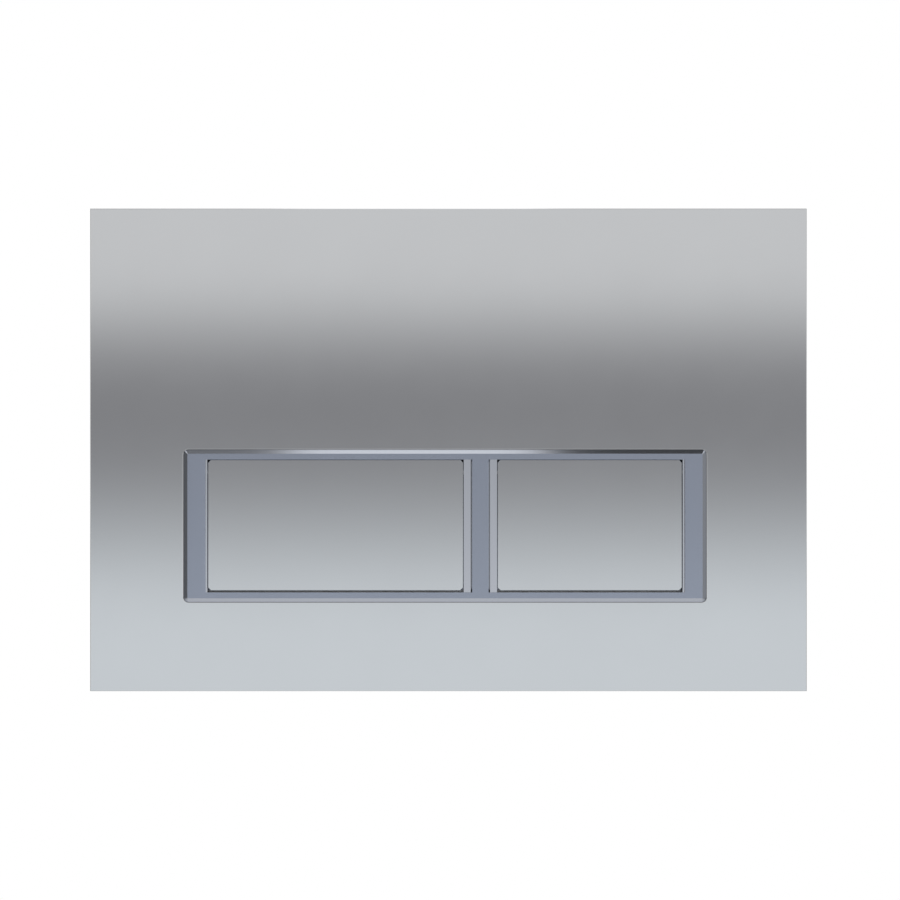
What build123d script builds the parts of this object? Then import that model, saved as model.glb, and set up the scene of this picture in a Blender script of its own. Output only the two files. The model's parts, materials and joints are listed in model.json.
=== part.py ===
"""Flush button plate for a concealed cistern, in millimetres.

X runs to the right as seen from the front, Z runs up and the front faces -Y.
The wall lies at y = 0. A level is a distance in front of the wall: y = -level.
"""

import os
from math import cos, radians, sin
from typing import NamedTuple

from build123d import *

# Face plate
plate_width = 245.0
plate_height = 165.0
plate_projection = 12.0
plate_wall = 2.2
plate_edge_radius = 0.2
plate_rib_width = 1.4
plate_rib_height = 2.4
plate_rib_pitch = 42.0
plate_rib_count = 5
plate_rib_margin = 3.0

# Latches that hold the face plate on the mounting frame
latch_spacing = 126.0
latch_width = 12.0
latch_thickness = 1.8
latch_reach = 1.6
latch_hook = 1.4
latch_clearance = 0.3

# Button surround
surround_offset_x = -1.2
surround_top_z = 0.0
surround_proud = 1.4
surround_corner_radius = 1.6
surround_edge_chamfer = 1.3
surround_wall = 2.0
surround_clearance = 0.05
end_strip = 8.1
rail = 3.3
large_window_width = 87.6
small_window_width = 63.4
window_height = 45.4
mullion_width = 11.4
flank_width = 2.4
flank_depth = 0.65
ridge_step_width = 0.5
ridge_step_depth = 0.75
end_bevel_width = 1.2
end_bevel_depth = 0.5
flange_margin = 7.0
flange_thickness = 2.0
flange_corner_radius = 3.0

# Screws that hold the surround to the face plate
module_screw_radius = 1.4
module_screw_length = 5.6
module_screw_head_radius = 2.6
module_screw_head = 1.8
module_screw_spacing = 168.0
module_screw_clearance = 0.2
boss_radius = 3.0
boss_height = 2.8
pilot_clearance = 0.03

# Buttons
side_gap = 0.15
bottom_gap = 0.6
hinge_gap = 0.1
button_wall = 2.0
button_skirt = 5.0
button_skirt_wall = 1.5
button_edge_chamfer = 0.15
button_corner_cut = 1.0
button_rib_width = 1.2
button_rib_height = 1.0
button_rib_pitch = 16.0
button_rib_end = 6.0

# Hinge of each button
hinge_inset = 4.2
hinge_depth = 4.4
pin_radius = 1.25
pin_clearance = 0.05
pin_overrun = 0.8
lug_radius = 2.8
lug_length = 6.0

# Nose that pushes the piston
lever_arm = 32.0
nose_radius = 2.2
nose_length = 14.0
nose_clearance = 0.2

# Rim that closes the gap round each button from behind, with rubber buffers
rim_drop = 0.8
rim_side_reach = 1.4
rim_bottom_reach = 2.4
rim_thickness = 1.5
rim_piston_gap = 0.75
buffer_inset = 14.0
buffer_length = 8.0
buffer_thickness = 1.0
buffer_margin = 0.3
stop_clearance = 0.05

# Mounting frame
frame_flange_level = 4.0
frame_flange_thickness = 2.0
frame_flange_margin = 9.0
frame_flange_corner_radius = 5.0
tray_wall = 2.0
tray_clearance = 0.4
tray_corner_radius = 4.0
tray_depth = 14.0
web_thickness = 2.0
web_border = 6.0
cross_bar_top_z = 10.0
cross_bar_bottom_z = -9.0
upper_window_width = 112.0
web_window_radius = 4.0
frame_rib_width = 1.6
frame_rib_height = 4.0

# Screws and nuts that hold the frame to the cistern
fixing_spacing = 152.0
fixing_z = 32.0
fixing_radius = 4.0
fixing_shoulder_radius = 4.5
fixing_shoulder_overrun = 1.0
fixing_length = 54.0
fixing_head_radius = 9.0
fixing_head = 3.6
fixing_slot_width = 2.0
fixing_slot_depth = 2.0
fixing_clearance = 0.4
fixing_slot_length = 22.0
fixing_pad_margin = 4.0
fixing_pad = 1.2
clamp_nut_width = 17.0
clamp_nut_height = 7.0
thread_clearance = 0.05

# Piston, guide and push rod of each button
piston_head_radius = 8.0
piston_head = 2.5
stem_radius = 5.0
guide_wall = 3.0
guide_length = 8.0
guide_clearance = 0.08
gusset_width = 1.6
gusset_reach = 3.4
gusset_height = 5.0
guide_bar = 24.0
rod_radius = 3.0
rod_length = 66.0
rod_engagement = 14.0
rod_end_chamfer = 0.6
lock_nut_width = 14.0
lock_nut_height = 5.0
lock_nut_clearance = 0.2

# Return springs
spring_wire = 0.9
spring_gap = 0.5
spring_turns = 4
spring_turn_steps = 12
spring_seat_clearance = 0.15

# Layout of the surround
surround_width = 2 * end_strip + large_window_width + mullion_width + small_window_width
surround_height = window_height + 2 * rail
surround_left = surround_offset_x - surround_width / 2
surround_right = surround_left + surround_width
surround_centre_z = surround_top_z - surround_height / 2
surround_centre = (surround_offset_x, surround_centre_z)
mullion_left = surround_left + end_strip + large_window_width
mullion_right = mullion_left + mullion_width
mullion_centre_x = (mullion_left + mullion_right) / 2
window_bottom_z = surround_centre_z - window_height / 2
flange_width = surround_width + 2 * flange_margin
flange_height = surround_height + 2 * flange_margin
module_screw_rows = surround_height + flange_margin

# Levels, counted forwards from the wall
plate_inner = plate_projection - plate_wall
surround_face = plate_projection + surround_proud
flange_front = plate_inner - boss_height
flange_back = flange_front - flange_thickness
button_face = plate_projection
button_inner = button_face - button_wall
button_back = button_face - button_skirt
hinge_level = button_face - hinge_depth
rim_front = flange_back - stop_clearance - buffer_thickness
rim_back = rim_front - rim_thickness
frame_flange_back = frame_flange_level - frame_flange_thickness
latch_catch = frame_flange_back - latch_clearance
latch_end = latch_catch - latch_hook
web_front = frame_flange_level - tray_depth
web_back = web_front - web_thickness
guide_end = web_back - guide_length
pad_back = web_back - fixing_pad
clamp_nut_back = pad_back - clamp_nut_height
shoulder_end = clamp_nut_back - fixing_shoulder_overrun
piston_front = hinge_level - nose_radius - nose_clearance
piston_back = piston_front - piston_head
stem_end = guide_end - lock_nut_clearance
rod_front = stem_end + rod_engagement
rod_end = rod_front - rod_length

# Layout of the buttons
button_height = window_height - bottom_gap - hinge_gap
button_bottom_z = window_bottom_z + bottom_gap
button_top_z = button_bottom_z + button_height
button_centre_z = (button_bottom_z + button_top_z) / 2
hollow_bottom_z = button_bottom_z + button_skirt_wall
hinge_z = button_top_z - hinge_inset
rod_z = hinge_z - lever_arm
rim_top_z = hinge_z - rim_drop
rim_bottom_z = window_bottom_z - rim_bottom_reach
pin_bore_radius = pin_radius + pin_clearance

# Layout of the mounting frame
tray_width = flange_width + 2 * abs(surround_offset_x) + 2 * tray_clearance
tray_height = 2 * (abs(surround_centre_z) + flange_height / 2 + tray_clearance)
frame_width = tray_width + 2 * tray_wall + 2 * frame_flange_margin
frame_height = tray_height + 2 * tray_wall + 2 * frame_flange_margin
fixing_points = [(-fixing_spacing / 2, fixing_z), (fixing_spacing / 2, fixing_z)]
guide_radius = stem_radius + guide_wall


class Side(NamedTuple):
    """One button's place in the surround."""

    name: str
    centre_x: float
    window_width: float
    bore_left: float
    bore_right: float
    pin_left: float
    pin_right: float


large_side = Side(
    name="large",
    centre_x=mullion_left - large_window_width / 2,
    window_width=large_window_width,
    bore_left=surround_left,
    bore_right=mullion_left + surround_wall,
    pin_left=surround_left,
    pin_right=mullion_left + surround_wall + pin_overrun,
)
small_side = Side(
    name="small",
    centre_x=mullion_right + small_window_width / 2,
    window_width=small_window_width,
    bore_left=mullion_right - surround_wall,
    bore_right=surround_right,
    pin_left=mullion_right - surround_wall - pin_overrun,
    pin_right=surround_right,
)
sides = (large_side, small_side)


def at_level(level):
    """Return the plane that stands at a level and faces the front."""
    return Plane.XZ.offset(level)


def rod_plane(side):
    """Return the level plane through a push rod's axis, with the rod's axis as its Y axis."""
    return Plane(origin=(side.centre_x, 0, rod_z), x_dir=(1, 0, 0), z_dir=(0, 0, 1))


def rod_axis(side):
    """Return the axis that a push rod slides along."""
    return Axis((side.centre_x, 0, rod_z), (0, 1, 0))


def lug_profile(radius, centre_z):
    """Draw a round-ended lug from the button's wall to the hinge level, as seen from the side."""
    with Locations((-hinge_level, centre_z)):
        Circle(radius)
    with Locations((-(hinge_level + button_inner) / 2, centre_z)):
        Rectangle(button_inner - hinge_level, 2 * radius)


def export(piece, name):
    """Write one named piece."""
    piece.label = name
    export_step(piece, f"parts/{name}.step")


os.makedirs("parts", exist_ok=True)

# Face plate
with BuildPart() as face_plate:
    # Shell, open at the back
    with BuildSketch(at_level(0)):
        Rectangle(plate_width, plate_height)
    extrude(amount=plate_projection)
    fillet(face_plate.faces().sort_by(Axis.Y)[0].edges(), plate_edge_radius)
    with BuildSketch(at_level(0)):
        Rectangle(plate_width - 2 * plate_wall, plate_height - 2 * plate_wall)
    extrude(amount=plate_inner, mode=Mode.SUBTRACT)

    # Ribs across the upper half and below the surround
    upper_rib_bottom = surround_centre_z + flange_height / 2 + plate_rib_margin
    upper_rib_top = plate_height / 2 - plate_wall
    lower_rib_top = surround_centre_z - flange_height / 2 - plate_rib_margin
    lower_rib_bottom = -plate_height / 2 + plate_wall
    with BuildSketch(at_level(plate_inner - plate_rib_height)):
        for bottom, top in ((upper_rib_bottom, upper_rib_top), (lower_rib_bottom, lower_rib_top)):
            with Locations((0, (bottom + top) / 2)):
                with GridLocations(plate_rib_pitch, 1, plate_rib_count, 1):
                    Rectangle(plate_rib_width, top - bottom)
        with Locations((0, (upper_rib_bottom + upper_rib_top) / 2)):
            Rectangle(plate_width - 2 * plate_wall, plate_rib_width)
    extrude(amount=plate_rib_height)

    # Bosses for the surround's screws
    with BuildSketch(at_level(flange_front)):
        with Locations(surround_centre):
            with GridLocations(module_screw_spacing, module_screw_rows, 2, 2):
                Circle(boss_radius)
    extrude(amount=boss_height)

    # Window for the surround
    with BuildSketch(at_level(flange_front)):
        with Locations(surround_centre):
            RectangleRounded(
                surround_width + 2 * surround_clearance,
                surround_height + 2 * surround_clearance,
                surround_corner_radius + surround_clearance,
            )
    extrude(amount=plate_projection - flange_front, mode=Mode.SUBTRACT)

    # Pilot holes in the bosses
    with BuildSketch(at_level(flange_front)):
        with Locations(surround_centre):
            with GridLocations(module_screw_spacing, module_screw_rows, 2, 2):
                Circle(module_screw_radius + pilot_clearance)
    extrude(amount=module_screw_length - flange_thickness + pilot_clearance, mode=Mode.SUBTRACT)

    # Latch arms that hook behind the frame's flange
    for sign in (1, -1):
        arm_inner = sign * (frame_height / 2 + latch_clearance)
        arm_outer = arm_inner + sign * latch_thickness
        hook_tip = arm_inner - sign * (latch_clearance + latch_reach)
        with BuildSketch(*[Plane.YZ.offset(x) for x in (-latch_spacing / 2, latch_spacing / 2)]):
            with BuildLine():
                Polyline(
                    (-plate_inner, arm_inner),
                    (-latch_catch, arm_inner),
                    (-latch_catch, hook_tip),
                    (-latch_end, arm_inner),
                    (-latch_end, arm_outer),
                    (-plate_inner, arm_outer),
                    close=True,
                )
            make_face()
        extrude(amount=latch_width / 2, both=True)
export(face_plate.part, "face_plate")

# Button surround
with BuildPart() as button_surround:
    # Rear flange and raised body
    with BuildSketch(at_level(flange_back)):
        with Locations(surround_centre):
            RectangleRounded(surround_width, surround_height, surround_corner_radius)
    extrude(amount=surround_face - flange_back)
    chamfer(button_surround.faces().sort_by(Axis.Y)[0].edges(), surround_edge_chamfer)
    with BuildSketch(at_level(flange_back)):
        with Locations(surround_centre):
            RectangleRounded(flange_width, flange_height, flange_corner_radius)
    extrude(amount=flange_thickness)

    # Windows for the buttons
    with BuildSketch(at_level(flange_back)):
        for side in sides:
            with Locations((side.centre_x, surround_centre_z)):
                Rectangle(side.window_width, window_height)
    extrude(amount=surround_face - flange_back, mode=Mode.SUBTRACT)

    # Sloping flanks of the mullion, a step below its ridge, and bevels along the end strips
    with BuildSketch(Plane.XY.offset(surround_centre_z)):
        for edge_x, sign in ((mullion_left, 1), (mullion_right, -1)):
            with BuildLine():
                Polyline(
                    (edge_x, -surround_face),
                    (edge_x + sign * (flank_width + ridge_step_width), -surround_face),
                    (edge_x + sign * flank_width, -surround_face + ridge_step_depth),
                    (edge_x, -surround_face + ridge_step_depth + flank_depth),
                    close=True,
                )
            make_face()
        for edge_x, sign in ((surround_left + end_strip, -1), (surround_right - end_strip, 1)):
            with BuildLine():
                Polyline(
                    (edge_x, -surround_face),
                    (edge_x + sign * end_bevel_width, -surround_face),
                    (edge_x, -surround_face + end_bevel_depth),
                    close=True,
                )
            make_face()
    extrude(amount=window_height / 2, both=True, mode=Mode.SUBTRACT)

    # Hollows behind the end strips and the mullion
    with BuildSketch(at_level(flange_back)):
        for centre_x in (surround_left + end_strip / 2, surround_right - end_strip / 2):
            with Locations((centre_x, surround_centre_z)):
                Rectangle(end_strip - 2 * surround_wall, surround_height - 2 * surround_wall)
        with Locations((mullion_centre_x, surround_centre_z)):
            Rectangle(mullion_width - 2 * surround_wall, window_height)
    extrude(amount=surround_face - surround_wall - flange_back, mode=Mode.SUBTRACT)

    # Holes for the hinge pins
    for side in sides:
        with BuildSketch(Plane.YZ.offset(side.bore_left)):
            with Locations((-hinge_level, hinge_z)):
                Circle(pin_bore_radius)
        extrude(amount=side.bore_right - side.bore_left, mode=Mode.SUBTRACT)

    # Holes for the screws
    with BuildSketch(at_level(flange_back)):
        with Locations(surround_centre):
            with GridLocations(module_screw_spacing, module_screw_rows, 2, 2):
                Circle(module_screw_radius + module_screw_clearance)
    extrude(amount=flange_thickness, mode=Mode.SUBTRACT)
export(button_surround.part, "button_surround")

# Screws that hold the surround
with BuildPart() as module_screws:
    with BuildSketch(at_level(flange_back)):
        with Locations(surround_centre):
            with GridLocations(module_screw_spacing, module_screw_rows, 2, 2):
                Circle(module_screw_radius)
    extrude(amount=module_screw_length)
    with BuildSketch(at_level(flange_back - module_screw_head)):
        with Locations(surround_centre):
            with GridLocations(module_screw_spacing, module_screw_rows, 2, 2):
                Circle(module_screw_head_radius)
    extrude(amount=module_screw_head)
export(module_screws.part, "module_screws")

# Mounting frame
with BuildPart() as mounting_frame:
    # Flange and tray
    with BuildSketch(at_level(frame_flange_back)):
        RectangleRounded(frame_width, frame_height, frame_flange_corner_radius)
    extrude(amount=frame_flange_thickness)
    with BuildSketch(at_level(web_back)):
        RectangleRounded(
            tray_width + 2 * tray_wall,
            tray_height + 2 * tray_wall,
            tray_corner_radius + tray_wall,
        )
    extrude(amount=frame_flange_back - web_back)
    with BuildSketch(at_level(web_front)):
        RectangleRounded(tray_width, tray_height, tray_corner_radius)
    extrude(amount=frame_flange_level - web_front, mode=Mode.SUBTRACT)

    # Ribs along the cross bar and beside the windows
    with BuildSketch(at_level(web_front)):
        for edge_z in (cross_bar_top_z - frame_rib_width, cross_bar_bottom_z + frame_rib_width):
            with Locations((0, edge_z)):
                Rectangle(tray_width, frame_rib_width)
    extrude(amount=frame_rib_height)

    # Guides behind the web
    for side in sides:
        with BuildSketch(at_level(guide_end)):
            with Locations((side.centre_x, rod_z)):
                Circle(guide_radius)
        extrude(amount=guide_length)

    # Gussets that brace the guides
    gusset_foot = guide_radius + gusset_reach
    gusset_back = web_back - gusset_height
    for side in sides:
        for plane, centre, axis_first in (
            (Plane.XY.offset(rod_z), side.centre_x, False),
            (Plane.YZ.offset(side.centre_x), rod_z, True),
        ):
            corners = (
                (centre - gusset_foot, -web_back),
                (centre + gusset_foot, -web_back),
                (centre + guide_radius, -gusset_back),
                (centre - guide_radius, -gusset_back),
            )
            with BuildSketch(plane):
                with BuildLine():
                    Polyline(*[(y, across) if axis_first else (across, y) for across, y in corners], close=True)
                make_face()
            extrude(amount=gusset_width / 2, both=True)

    # Pads round the fixing slots
    with BuildSketch(at_level(pad_back)):
        with Locations(*fixing_points):
            SlotOverall(
                fixing_slot_length + 2 * fixing_pad_margin,
                2 * (fixing_shoulder_radius + fixing_clearance + fixing_pad_margin),
            )
    extrude(amount=fixing_pad)

    # Windows in the web
    half_width = tray_width / 2 - web_border
    half_height = tray_height / 2 - web_border
    lower_spans = (
        (-half_width, large_side.centre_x - guide_bar / 2),
        (large_side.centre_x + guide_bar / 2, small_side.centre_x - guide_bar / 2),
        (small_side.centre_x + guide_bar / 2, half_width),
    )
    with BuildSketch(at_level(web_back)):
        with Locations((0, (cross_bar_top_z + half_height) / 2)):
            RectangleRounded(upper_window_width, half_height - cross_bar_top_z, web_window_radius)
        for left, right in lower_spans:
            with Locations(((left + right) / 2, (cross_bar_bottom_z - half_height) / 2)):
                RectangleRounded(right - left, cross_bar_bottom_z + half_height, web_window_radius)
    extrude(amount=web_thickness, mode=Mode.SUBTRACT)

    # Slots for the fixing screws
    with BuildSketch(at_level(pad_back)):
        with Locations(*fixing_points):
            SlotOverall(fixing_slot_length, 2 * (fixing_shoulder_radius + fixing_clearance))
    extrude(amount=web_front - pad_back, mode=Mode.SUBTRACT)

    # Bores of the guides
    for side in sides:
        with BuildSketch(at_level(guide_end)):
            with Locations((side.centre_x, rod_z)):
                Circle(stem_radius + guide_clearance)
        extrude(amount=web_front - guide_end, mode=Mode.SUBTRACT)
export(mounting_frame.part, "mounting_frame")

# Screws that hold the frame
with BuildPart() as fixing_screws:
    with BuildSketch(at_level(web_front - fixing_length)):
        with Locations(*fixing_points):
            Circle(fixing_radius)
    extrude(amount=fixing_length)
    with BuildSketch(at_level(shoulder_end)):
        with Locations(*fixing_points):
            Circle(fixing_shoulder_radius)
    extrude(amount=web_front - shoulder_end)
    with BuildSketch(at_level(web_front)):
        with Locations(*fixing_points):
            Circle(fixing_head_radius)
    extrude(amount=fixing_head)
    with BuildSketch(at_level(web_front + fixing_head)):
        with Locations(*fixing_points):
            Rectangle(2 * fixing_head_radius, fixing_slot_width)
    extrude(amount=-fixing_slot_depth, mode=Mode.SUBTRACT)
export(fixing_screws.part, "fixing_screws")

# Nuts on those screws
with BuildPart() as clamp_nuts:
    with BuildSketch(at_level(clamp_nut_back)):
        with Locations(*fixing_points):
            RegularPolygon(clamp_nut_width / 2, 6, major_radius=False)
            Circle(fixing_shoulder_radius + thread_clearance, mode=Mode.SUBTRACT)
    extrude(amount=clamp_nut_height)
export(clamp_nuts.part, "clamp_nuts")

# Pieces of each button
for side in sides:
    button_width = side.window_width - 2 * side_gap
    button_left = side.centre_x - button_width / 2
    button_right = side.centre_x + button_width / 2
    hollow_width = button_width - 2 * button_skirt_wall

    # Hinge pin
    with BuildPart() as hinge_pin:
        with BuildSketch(Plane.YZ.offset(side.pin_left)):
            with Locations((-hinge_level, hinge_z)):
                Circle(pin_radius)
        extrude(amount=side.pin_right - side.pin_left)
    export(hinge_pin.part, f"{side.name}_hinge_pin")

    # Button
    with BuildPart() as button:
        # Hollow shell
        with BuildSketch(at_level(button_back)):
            with Locations((side.centre_x, button_centre_z)):
                Rectangle(button_width, button_height)
            chamfer(vertices(), button_corner_cut)
        extrude(amount=button_skirt)
        chamfer(button.faces().sort_by(Axis.Y)[0].edges(), button_edge_chamfer)
        with BuildSketch(at_level(button_back)):
            with Locations((side.centre_x, button_centre_z)):
                Rectangle(hollow_width, button_height - 2 * button_skirt_wall)
        extrude(amount=button_skirt - button_wall, mode=Mode.SUBTRACT)

        # Ribs inside
        rib_count = int((button_width - 2 * button_rib_end) / button_rib_pitch) + 1
        with BuildSketch(at_level(button_inner - button_rib_height)):
            with Locations((side.centre_x, button_centre_z)):
                with GridLocations(button_rib_pitch, 1, rib_count, 1):
                    Rectangle(button_rib_width, button_height - 2 * button_skirt_wall)
        extrude(amount=button_rib_height)

        # Rim that reaches behind the surround at the sides and the bottom
        for rim_width, bottom_z, front in (
            (button_width, button_bottom_z, button_back),
            (side.window_width + 2 * rim_side_reach, rim_bottom_z, rim_front),
        ):
            with BuildSketch(at_level(rim_back)):
                with Locations((side.centre_x, (rim_top_z + bottom_z) / 2)):
                    Rectangle(rim_width, rim_top_z - bottom_z)
                with Locations((side.centre_x, (rim_top_z + hollow_bottom_z) / 2)):
                    Rectangle(hollow_width, rim_top_z - hollow_bottom_z, mode=Mode.SUBTRACT)
            extrude(amount=front - rim_back)

        # Room for the piston's head in the rim
        with BuildSketch(at_level(rim_back)):
            with Locations((side.centre_x, rod_z)):
                Circle(piston_head_radius + rim_piston_gap)
        extrude(amount=button_back - rim_back, mode=Mode.SUBTRACT)

        # Hinge lugs at both ends
        for lug_left in (button_left, button_right - lug_length):
            with BuildSketch(Plane.YZ.offset(lug_left)):
                lug_profile(lug_radius, hinge_z)
            extrude(amount=lug_length)

        # Nose that pushes the piston
        with BuildSketch(Plane.YZ.offset(side.centre_x - nose_length / 2)):
            lug_profile(nose_radius, rod_z)
        extrude(amount=nose_length)

        # Bore for the hinge pin
        with BuildSketch(Plane.YZ.offset(button_left)):
            with Locations((-hinge_level, hinge_z)):
                Circle(pin_bore_radius)
        extrude(amount=button_width, mode=Mode.SUBTRACT)
    export(button.part, f"{side.name}_button")

    # Rubber buffers on the rim
    buffer_top_z = window_bottom_z - buffer_margin
    buffer_bottom_z = rim_bottom_z + buffer_margin
    with BuildPart() as buffers:
        with BuildSketch(at_level(rim_front)):
            with Locations((side.centre_x, (buffer_top_z + buffer_bottom_z) / 2)):
                with GridLocations(button_width - 2 * buffer_inset, 1, 2, 1):
                    Rectangle(buffer_length, buffer_top_z - buffer_bottom_z)
        extrude(amount=buffer_thickness)
    export(buffers.part, f"{side.name}_buffers")

    # Piston
    with BuildPart() as piston:
        with BuildSketch(rod_plane(side)):
            with BuildLine():
                Polyline(
                    (0, -piston_front),
                    (piston_head_radius, -piston_front),
                    (piston_head_radius, -piston_back),
                    (stem_radius, -piston_back),
                    (stem_radius, -stem_end),
                    (rod_radius + thread_clearance, -stem_end),
                    (rod_radius + thread_clearance, -rod_front),
                    (0, -rod_front),
                    close=True,
                )
            make_face()
        revolve(axis=rod_axis(side))
    export(piston.part, f"{side.name}_piston")

    # Push rod
    with BuildPart() as push_rod:
        with BuildSketch(at_level(rod_end)):
            with Locations((side.centre_x, rod_z)):
                Circle(rod_radius)
        extrude(amount=rod_length)
        chamfer(push_rod.edges().filter_by(GeomType.CIRCLE).sort_by(Axis.Y)[-1], rod_end_chamfer)
    export(push_rod.part, f"{side.name}_push_rod")

    # Lock nut, which also keeps the piston in its guide
    with BuildPart() as lock_nut:
        with BuildSketch(at_level(stem_end - lock_nut_height)):
            with Locations((side.centre_x, rod_z)):
                RegularPolygon(lock_nut_width / 2, 6, major_radius=False)
                Circle(rod_radius + thread_clearance, mode=Mode.SUBTRACT)
        extrude(amount=lock_nut_height)
    export(lock_nut.part, f"{side.name}_lock_nut")

    # Return spring
    spring_radius = stem_radius + spring_gap + spring_wire / 2
    spring_start = -piston_back + spring_seat_clearance + spring_wire / 2
    spring_height = piston_back - web_front - 2 * spring_seat_clearance - spring_wire
    spring_steps = spring_turns * spring_turn_steps
    coil_points = []
    for step in range(spring_steps + 1):
        turn = radians(360 * step / spring_turn_steps)
        coil_x = side.centre_x + spring_radius * cos(turn)
        coil_y = spring_start + spring_height * step / spring_steps
        coil_z = rod_z + spring_radius * sin(turn)
        coil_points.append((coil_x, coil_y, coil_z))
    with BuildPart() as spring:
        with BuildLine() as coil:
            Polyline(*coil_points)
        with BuildSketch(Plane(origin=coil.line @ 0, x_dir=(1, 0, 0), z_dir=coil.line % 0)):
            Rectangle(spring_wire, spring_wire)
        sweep(path=coil.line, transition=Transition.RIGHT)
    export(spring.part, f"{side.name}_spring")
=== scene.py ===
"""Dresses the flush button plate: plated shells, threaded rods, springs, finishes and a small studio."""

import json
import logging
import math
from contextlib import contextmanager
from dataclasses import dataclass, replace
from enum import Enum
from functools import lru_cache
from typing import Any, Callable, Iterator, Mapping

import bpy
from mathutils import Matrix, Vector

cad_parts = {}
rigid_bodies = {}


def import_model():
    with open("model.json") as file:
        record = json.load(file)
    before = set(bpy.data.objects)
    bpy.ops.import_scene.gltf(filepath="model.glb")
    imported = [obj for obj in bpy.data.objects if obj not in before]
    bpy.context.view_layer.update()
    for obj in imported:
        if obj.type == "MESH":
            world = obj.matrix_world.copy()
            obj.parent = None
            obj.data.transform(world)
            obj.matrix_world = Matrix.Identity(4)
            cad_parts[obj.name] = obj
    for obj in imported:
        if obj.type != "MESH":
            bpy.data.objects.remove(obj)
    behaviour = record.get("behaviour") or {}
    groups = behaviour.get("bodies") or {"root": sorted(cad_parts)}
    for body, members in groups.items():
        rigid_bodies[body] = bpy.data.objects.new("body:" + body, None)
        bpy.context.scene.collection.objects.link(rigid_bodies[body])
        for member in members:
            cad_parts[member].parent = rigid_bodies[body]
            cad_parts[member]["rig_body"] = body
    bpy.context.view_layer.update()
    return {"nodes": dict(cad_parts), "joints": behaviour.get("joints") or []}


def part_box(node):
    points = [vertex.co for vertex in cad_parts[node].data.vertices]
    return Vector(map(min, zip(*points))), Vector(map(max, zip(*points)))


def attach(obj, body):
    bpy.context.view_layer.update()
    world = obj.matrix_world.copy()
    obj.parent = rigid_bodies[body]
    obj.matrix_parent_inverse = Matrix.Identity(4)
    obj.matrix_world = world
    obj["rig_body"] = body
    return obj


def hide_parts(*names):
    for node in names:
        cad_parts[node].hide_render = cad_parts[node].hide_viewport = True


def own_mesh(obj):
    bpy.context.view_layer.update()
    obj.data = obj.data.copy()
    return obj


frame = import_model()
log = logging.getLogger("flush_plate")

Colour = tuple[float, float, float, float]
MM = 0.001
SAME_HEIGHT = 0.01 * MM
SAME_POINT = 0.001 * MM
SAME_PLANE = math.radians(0.5)
SMOOTH_BELOW = math.radians(32.0)
SHARP_ABOVE = math.radians(40.0)
LARGE_FACES_LEAD = 100


class Side(Enum):
    """The two buttons, by the names that their nodes start with."""

    LARGE = "large"
    SMALL = "small"


class Surface(Enum):
    """How a finish's fine grain lies."""

    EVEN = (1.0, 1.0, 1.0)
    DRAWN_ACROSS = (0.03, 1.0, 1.0)


class Reading(Enum):
    """What a finish reads at each point of a piece."""

    PLACE = "Object"
    NORMAL = "Normal"


class EdgeCut(Enum):
    """How an edge is cut, by the number of faces that the cut has."""

    CHAMFER = 1
    ROUND = 3
    FINE_ROUND = 4


class Facing(Enum):
    """Where the top of a standing piece points once it is laid, in quarter turns about X."""

    INWARDS = -1
    OUTWARDS = 1


class Part(Enum):
    """What a selection in edit mode is made of."""

    EDGE = "EDGE"
    FACE = "FACE"


class Carving(Enum):
    """What a tool leaves of a piece."""

    OUTSIDE = "DIFFERENCE"
    INSIDE = "INTERSECT"


def grey(level: float) -> Colour:
    """Returns a plain grey."""
    return (level, level, level, 1.0)


BLACK = grey(0.0)
WHITE = grey(1.0)


def middle(node: str) -> Vector:
    """Returns the centre of a solid's box."""
    low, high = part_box(node)
    return (low + high) / 2


def front_of(node: str) -> float:
    """Returns the level of a solid's front."""
    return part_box(node)[0].y


class Value:
    """A number that changes over a surface. Python's operators add the Math nodes."""

    def __init__(self, bench: "Bench", socket: bpy.types.NodeSocket) -> None:
        """Wraps one output socket."""
        self.bench = bench
        self.socket = socket

    def _maths(self, operation: str, first: Any, second: Any = 0.0) -> "Value":
        """Adds one Math node.

        Args:
            operation: The Math node's operation.
            first: The first number or value.
            second: The second number or value.

        Returns:
            The result.
        """
        return self.bench.value("ShaderNodeMath", {"operation": operation}, {0: first, 1: second})

    def __add__(self, other: Any) -> "Value":
        """Adds."""
        return self._maths("ADD", self, other)

    __radd__ = __add__

    def __sub__(self, other: Any) -> "Value":
        """Subtracts."""
        return self._maths("SUBTRACT", self, other)

    def __rsub__(self, other: Any) -> "Value":
        """Subtracts from a number."""
        return self._maths("SUBTRACT", other, self)

    def __mul__(self, other: Any) -> "Value":
        """Multiplies."""
        return self._maths("MULTIPLY", self, other)

    __rmul__ = __mul__

    def __pow__(self, other: Any) -> "Value":
        """Raises to a power."""
        return self._maths("POWER", self, other)

    def __or__(self, other: Any) -> "Value":
        """Takes the larger of two."""
        return self._maths("MAXIMUM", self, other)

    def __abs__(self) -> "Value":
        """Takes off the sign."""
        return self._maths("ABSOLUTE", self)

    def over(self, other: Any) -> "Value":
        """Returns 1 where it is greater than another and 0 elsewhere."""
        return self._maths("GREATER_THAN", self, other)

    def eased(self, low: float, high: float) -> "Value":
        """Rises softly from 0 to 1.

        Args:
            low: Up to where the result is 0.
            high: From where the result is 1.

        Returns:
            The result.
        """
        return self.bench.value(
            "ShaderNodeMapRange",
            {"interpolation_type": "SMOOTHSTEP"},
            {"Value": self, "From Min": low, "From Max": high},
        )


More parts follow.
